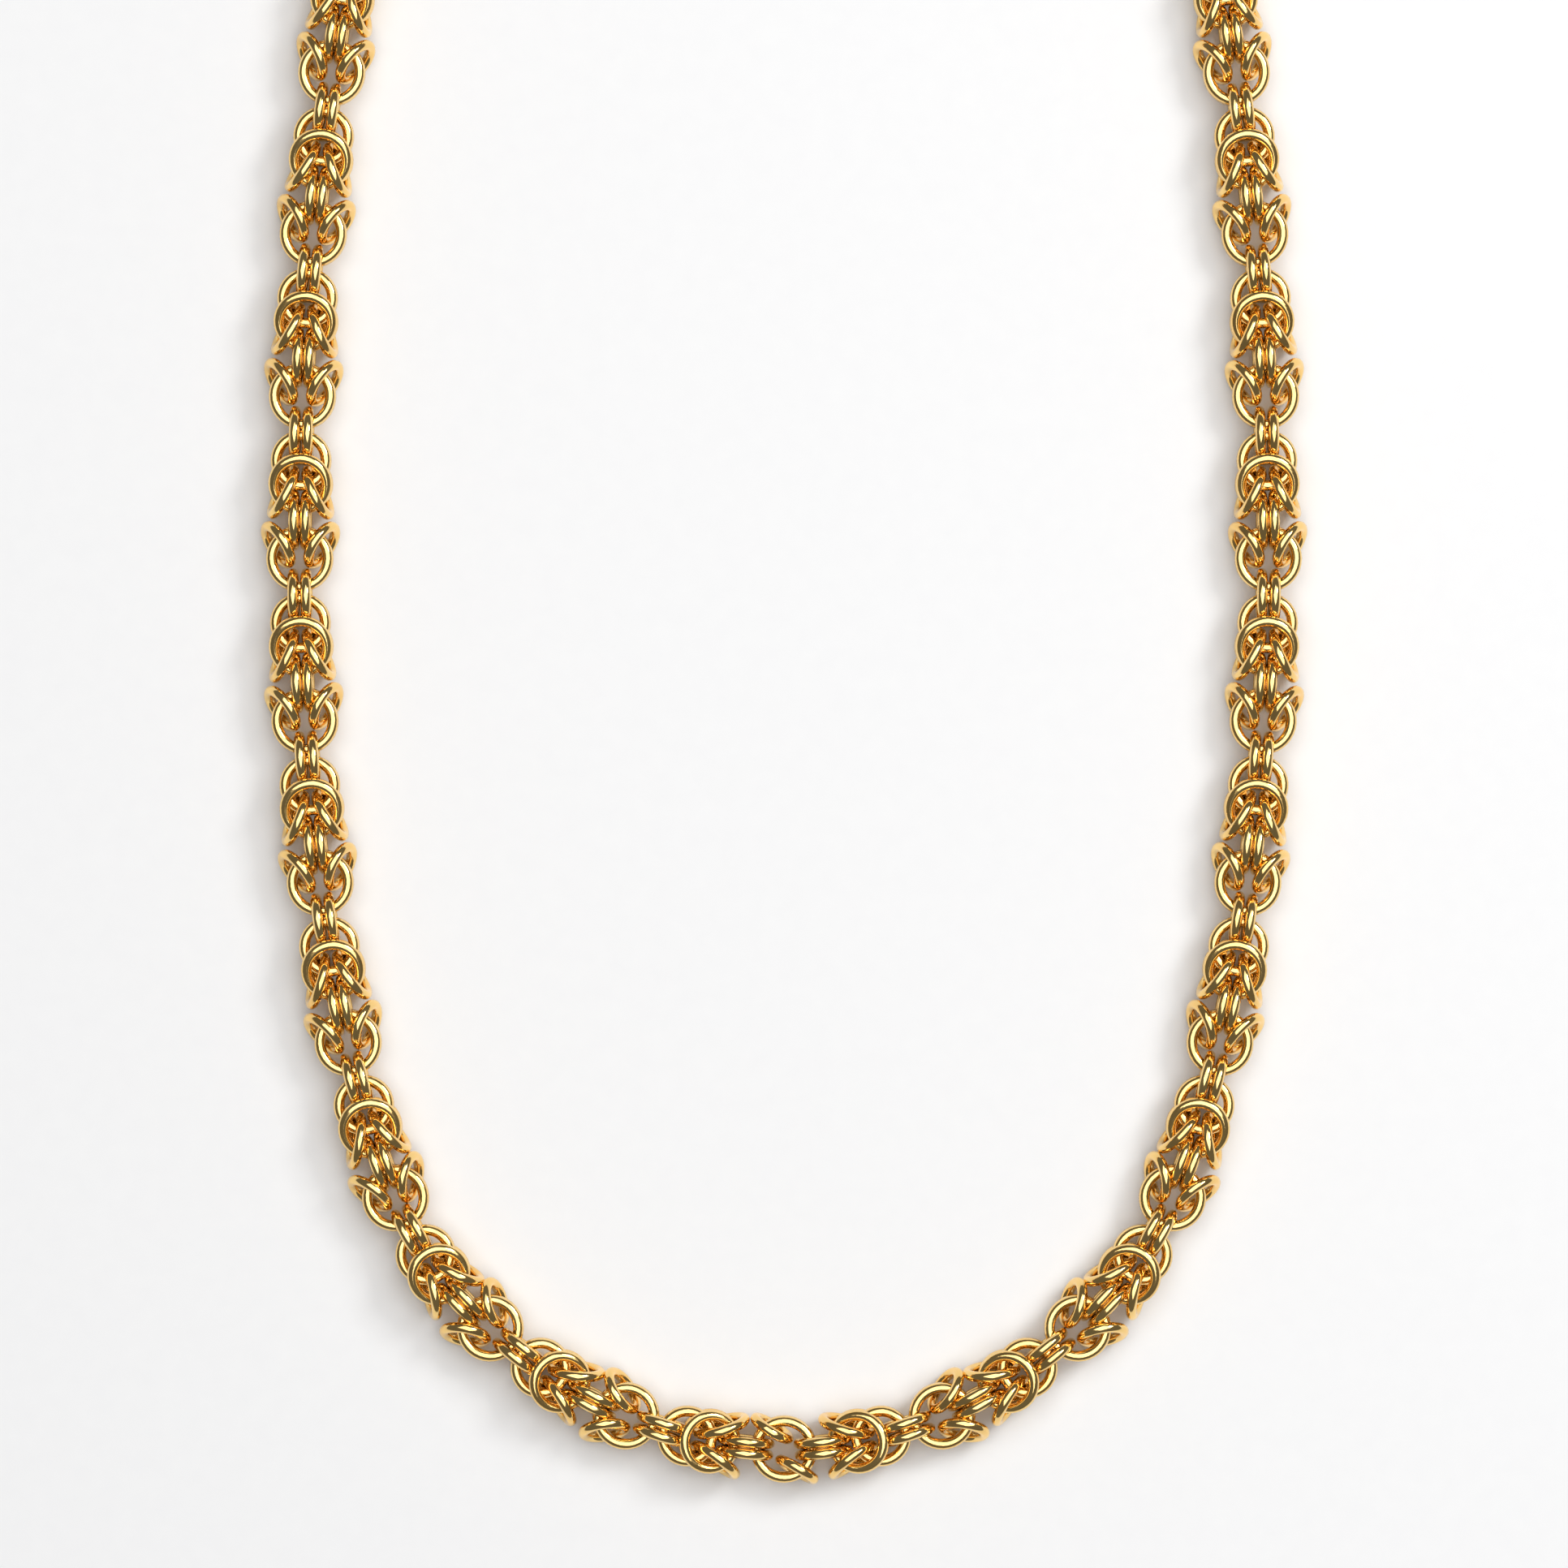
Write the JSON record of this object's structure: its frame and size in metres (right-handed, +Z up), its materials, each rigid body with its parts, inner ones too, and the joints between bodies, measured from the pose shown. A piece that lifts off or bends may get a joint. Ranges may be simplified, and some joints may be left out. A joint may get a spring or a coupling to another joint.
{
  "type": "byzantine chain necklace",
  "caption": "Necklace of interlocked round-wire rings in a byzantine weave, laid flat as a closed loop with a plain barrel clasp.",
  "frame": {"origin": "centre of the loop's outline on the surface that the necklace lies on", "axes": "+Z up from the surface, +Y towards the clasp, +X to the right"},
  "size_m": [0.1162, 0.227, 0.0068],
  "materials": {
    "chain": "polished gold",
    "clasp": "polished gold"
  },
  "bodies": {
    "root": {"chain_right": "chain", "chain_left": "chain", "clasp": "clasp"}
  },
  "joints": []
}
